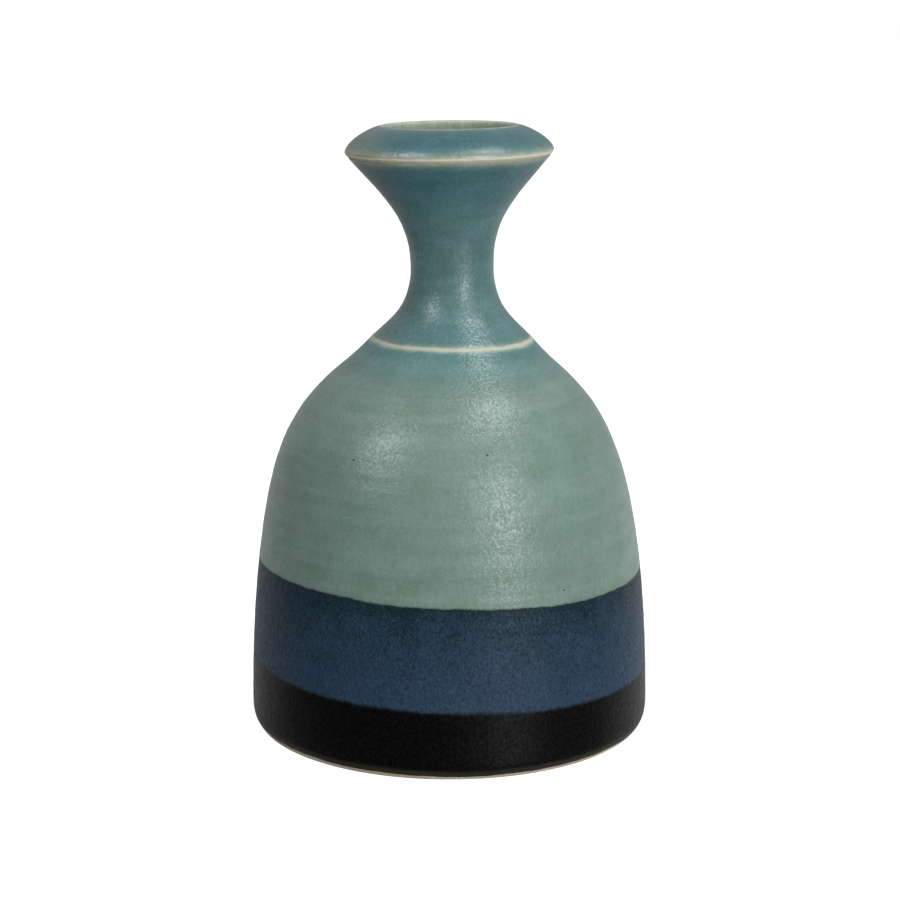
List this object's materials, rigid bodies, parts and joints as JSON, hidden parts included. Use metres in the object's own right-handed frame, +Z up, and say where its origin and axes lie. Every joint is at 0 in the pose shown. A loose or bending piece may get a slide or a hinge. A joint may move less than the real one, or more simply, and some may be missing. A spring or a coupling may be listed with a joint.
{
  "type": "bud vase",
  "caption": "Bell-shaped stoneware bud vase with a narrow waisted neck, flared turned-in lip and banded satin glazes.",
  "frame": {"origin": "centre of the foot's flat face, on the surface that the vase stands on", "axes": "+Z up along the axis that every section is turned about; the vase has no front"},
  "size_m": [0.101, 0.101, 0.15],
  "materials": {
    "stoneware": "matt, fine sandy clay body left bare at the foot and the lip's edge",
    "slip": "matt pale slip under a breath of glaze",
    "liner_glaze": "satin olive grey glaze",
    "teal_glaze": "satin-matt teal glaze, paler where it thins",
    "sage_glaze": "satin-matt sage glaze with faint turning lines",
    "blue_glaze": "satin navy blue glaze with fine dark speckle",
    "black_glaze": "satin black glaze"
  },
  "bodies": {
    "root": {"body_section": "stoneware", "neck_section": "stoneware", "luting_slip": "slip", "liner_glaze": "liner_glaze", "lip_glaze": "teal_glaze", "neck_glaze": "teal_glaze", "sage_glaze": "sage_glaze", "blue_band_glaze": "blue_glaze", "black_band_glaze": "black_glaze"}
  },
  "joints": []
}
